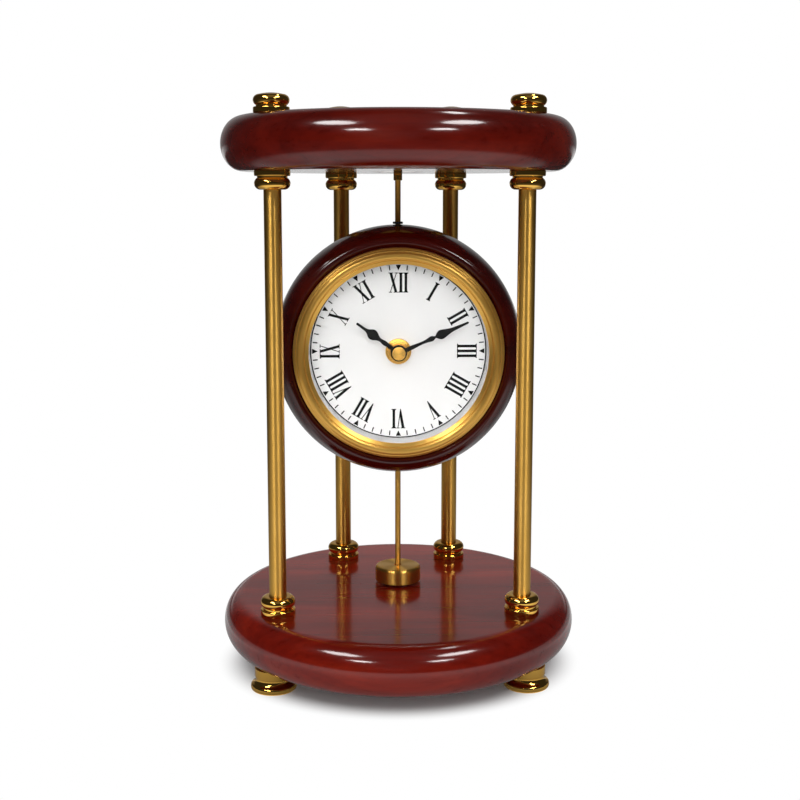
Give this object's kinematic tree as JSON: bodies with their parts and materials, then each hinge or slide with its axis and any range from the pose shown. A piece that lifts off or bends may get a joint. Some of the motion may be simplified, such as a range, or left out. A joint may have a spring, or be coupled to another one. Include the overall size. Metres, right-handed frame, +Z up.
{
  "type": "table clock",
  "caption": "Wood and brass table clock: a round clock head with a quartz movement hangs as a swinging pendulum between two round boards joined by columns.",
  "frame": {"origin": "on the table, under the middle of the base board", "axes": "+Z up, the dial faces -Y, +X to the right as seen from the front"},
  "size_m": [0.1876, 0.1876, 0.2994],
  "materials": {
    "lacquered_wood": "high gloss lacquer over red mahogany",
    "polished_brass": "mirror polish",
    "steel": "plain",
    "silver_ring": "satin",
    "clear_glass": "clear",
    "dial_white": "matt white with black print",
    "hand_black": "matt black",
    "black_plastic": "fine texture",
    "nylon": "moulded",
    "copper_wire": "wound enamelled wire",
    "circuit": "coated board",
    "battery_sleeve": "plain printed sleeve",
    "washer_rubber": "matt"
  },
  "bodies": {
    "stand": {"base_board": "lacquered_wood", "top_board": "lacquered_wood", "foot_front_left": "polished_brass", "foot_front_right": "polished_brass", "foot_rear_left": "polished_brass", "foot_rear_right": "polished_brass", "lower_collar_front_left": "polished_brass", "lower_collar_front_right": "polished_brass", "lower_collar_rear_left": "polished_brass", "lower_collar_rear_right": "polished_brass", "column_front_left": "polished_brass", "column_front_right": "polished_brass", "column_rear_left": "polished_brass", "column_rear_right": "polished_brass", "upper_collar_front_left": "polished_brass", "upper_collar_front_right": "polished_brass", "upper_collar_rear_left": "polished_brass", "upper_collar_rear_right": "polished_brass", "finial_nut_front_left": "polished_brass", "finial_nut_front_right": "polished_brass", "finial_nut_rear_left": "polished_brass", "finial_nut_rear_right": "polished_brass", "tie_rod_front_left": "steel", "tie_rod_front_right": "steel", "tie_rod_rear_left": "steel", "tie_rod_rear_right": "steel", "suspension_clevis": "polished_brass", "pivot_pin": "steel", "clevis_screw_left": "polished_brass", "clevis_screw_right": "polished_brass"},
    "pendulum": {"suspension_eye": "polished_brass", "upper_rod": "polished_brass", "rod_washer": "washer_rubber", "lower_rod": "polished_brass", "bob": "polished_brass", "head_case": "lacquered_wood", "bezel": "polished_brass", "glass": "clear_glass", "dial_ring": "silver_ring", "dial": "dial_white", "dial_nut": "polished_brass", "movement_case": "black_plastic", "movement_cover": "black_plastic", "battery": "battery_sleeve", "battery_contact_positive": "steel", "battery_contact_negative": "steel", "motor_coil": "copper_wire", "motor_stator": "steel", "circuit_board": "circuit"},
    "minute": {"minute_hand": "hand_black", "hand_cap": "polished_brass", "centre_wheel": "steel"},
    "hour": {"hour_hand": "hand_black", "hour_wheel": "nylon"},
    "motion_work": {"minute_wheel": "nylon"},
    "knob": {"setting_knob": "black_plastic"},
    "intermediate": {"intermediate_wheel": "nylon"},
    "rotor": {"motor_rotor": "steel"}
  },
  "joints": [
    {"name": "pendulum_swing", "type": "hinge", "parent": "stand", "child": "pendulum", "pos_m": [0, 0.0121, 0.2682], "axis": [0, 1, 0], "range_deg": [-10, 10]},
    {"name": "minute_turn", "type": "hinge", "parent": "pendulum", "child": "minute", "pos_m": [0, 0.0121, 0.168], "axis": [0, 1, 0], "continuous": true},
    {"name": "hour_turn", "type": "hinge", "parent": "pendulum", "child": "hour", "pos_m": [0, 0.0121, 0.168], "axis": [0, 1, 0], "continuous": true},
    {"name": "minute_wheel_turn", "type": "hinge", "parent": "pendulum", "child": "motion_work", "pos_m": [0, 0.0121, 0.179], "axis": [0, 1, 0], "continuous": true},
    {"name": "knob_turn", "type": "hinge", "parent": "pendulum", "child": "knob", "pos_m": [-0.00953, 0.0121, 0.1845], "axis": [0, 1, 0], "continuous": true},
    {"name": "intermediate_turn", "type": "hinge", "parent": "pendulum", "child": "intermediate", "pos_m": [0.00952, 0.0121, 0.17244], "axis": [0, 1, 0], "continuous": true},
    {"name": "rotor_turn", "type": "hinge", "parent": "pendulum", "child": "rotor", "pos_m": [0.01571, 0.0121, 0.18128], "axis": [0, 1, 0], "continuous": true}
  ],
  "couplings": [
    {"joint": "hour_turn", "follows": "minute_turn", "ratio": 0.083333},
    {"joint": "minute_wheel_turn", "follows": "minute_turn", "ratio": -0.33333},
    {"joint": "knob_turn", "follows": "minute_turn", "ratio": 1},
    {"joint": "intermediate_turn", "follows": "minute_turn", "ratio": -4},
    {"joint": "rotor_turn", "follows": "minute_turn", "ratio": 20}
  ]
}
